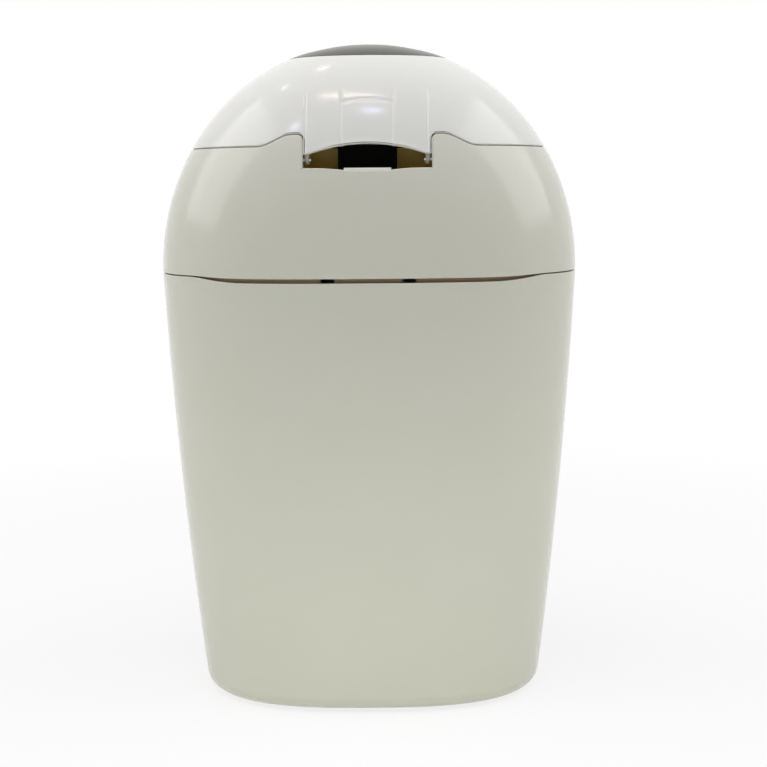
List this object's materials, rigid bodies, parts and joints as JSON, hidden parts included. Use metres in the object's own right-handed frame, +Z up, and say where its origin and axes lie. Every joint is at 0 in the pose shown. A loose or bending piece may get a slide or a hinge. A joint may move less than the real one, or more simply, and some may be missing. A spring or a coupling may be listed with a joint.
{
  "type": "nappy bin",
  "caption": "Tapered nappy bin with a domed hood that tilts back, a hinged lid, a film cassette, sprung clamp jaws and a press latch.",
  "frame": {"origin": "on the floor, under the middle of the tub", "axes": "+Z up, +Y from the hinge side to the front with the button, +X across the width"},
  "size_m": [0.33, 0.2449, 0.5156],
  "materials": {
    "shell_white": "gloss",
    "inner_white": "satin",
    "inner_khaki": "satin",
    "panel_grey": "gloss",
    "dark_plastic": "matt",
    "dark_rubber": "matt",
    "cassette_plastic": "satin",
    "film": "satin",
    "steel": "satin"
  },
  "bodies": {
    "bin": {"tub": "shell_white", "tub_collar": "inner_white", "rubber_feet": "dark_rubber", "tub_hinge_bracket": "inner_white", "hood_hinge_pins": "steel", "button_housing": "inner_white", "button_spring": "steel"},
    "button": {"release_button": "panel_grey"},
    "hood": {"hood_shell": "shell_white", "hood_hinge_arms": "inner_white", "hood_hook": "inner_white", "deck": "inner_white", "cradle": "inner_white", "cassette_tray": "cassette_plastic", "cassette_film": "film", "cassette_cap": "cassette_plastic", "clamp_frame": "inner_white", "clamp_screws": "steel", "jaw_pins": "steel", "jaw_springs": "steel", "cutter_rail": "inner_white", "lid_hinge_bracket": "inner_khaki", "bracket_screws": "steel", "hinge_damper": "dark_plastic"},
    "jaw_l": {"jaw_left": "inner_white", "jaw_lip_left": "dark_rubber"},
    "jaw_r": {"jaw_right": "inner_white", "jaw_lip_right": "dark_rubber"},
    "cutter": {"cutter_slider": "panel_grey", "cutter_blade": "steel"},
    "lid": {"lid_shell": "shell_white", "lid_panel": "panel_grey", "lid_grip": "panel_grey", "lid_liner": "inner_white", "lid_seal": "dark_rubber", "lid_hinge_arms": "shell_white", "lid_hinge_pins": "steel"}
  },
  "joints": [
    {"name": "hood_tilt", "type": "hinge", "parent": "bin", "child": "hood", "pos_m": [0, -0.1, 0.315], "axis": [1, 0, 0], "range_deg": [0, 60]},
    {"name": "lid_swing", "type": "hinge", "parent": "hood", "child": "lid", "pos_m": [0, -0.09879, 0.4231], "axis": [1, 0, 0], "range_deg": [0, 82]},
    {"name": "jaw_left_swing", "type": "hinge", "parent": "hood", "child": "jaw_l", "pos_m": [-0.056, 0.012, 0.3566], "axis": [0, 1, 0], "range_deg": [0, 60], "stiffness_Nm_per_rad": 0.05, "springref_deg": -34.38},
    {"name": "jaw_right_swing", "type": "hinge", "parent": "hood", "child": "jaw_r", "pos_m": [0.056, 0.012, 0.3566], "axis": [0, -1, 0], "range_deg": [0, 60], "stiffness_Nm_per_rad": 0.05, "springref_deg": -34.38},
    {"name": "button_press", "type": "slide", "parent": "bin", "child": "button", "axis": [0, -1, 0], "range_m": [0, 0.0022], "stiffness_N_per_m": 400, "springref_m": -0.004, "deforming": ["button_spring"]},
    {"name": "cutter_slide", "type": "slide", "parent": "hood", "child": "cutter", "axis": [1, 0, 0], "range_m": [-0.038, 0.038]}
  ]
}
